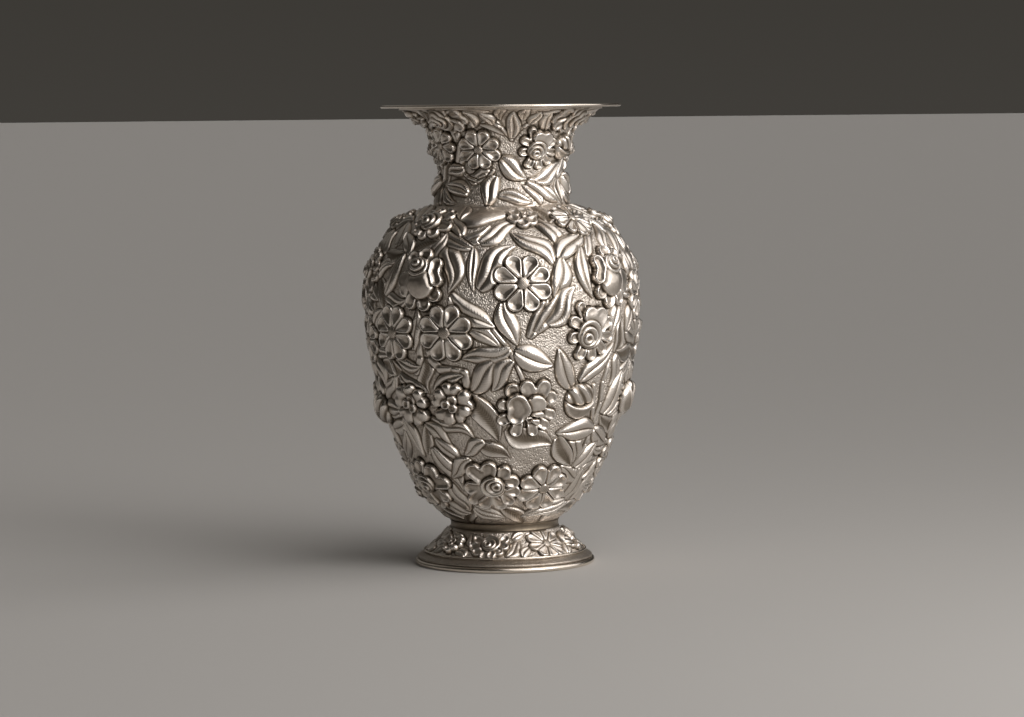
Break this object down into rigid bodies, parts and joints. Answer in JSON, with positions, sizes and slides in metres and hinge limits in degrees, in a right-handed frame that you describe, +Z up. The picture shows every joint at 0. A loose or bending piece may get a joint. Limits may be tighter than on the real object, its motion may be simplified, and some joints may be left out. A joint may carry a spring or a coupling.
{
  "type": "vase",
  "caption": "Baluster silver vase with a raised belly, trumpet neck, flat round mouth flange and spreading foot, chased all over with flowers and leaves.",
  "frame": {"origin": "centre of the foot on the surface that the vase stands on", "axes": "+Z up along the vase's axis; the vase is round, and -Y faces the side shown in the picture"},
  "size_m": [0.1552, 0.1562, 0.254],
  "materials": {
    "chased_silver": "chased silver, polished on the raised edges and blackened in the recesses",
    "plain_silver": "plain polished silver with a warm tone"
  },
  "bodies": {
    "root": {"rim_wire": "plain_silver", "mouth_flange": "plain_silver", "neck_shell": "chased_silver", "belly_shell": "chased_silver", "foot_collar": "plain_silver", "foot_skirt": "chased_silver", "foot_bead": "plain_silver", "foot_wire": "plain_silver"}
  },
  "joints": []
}
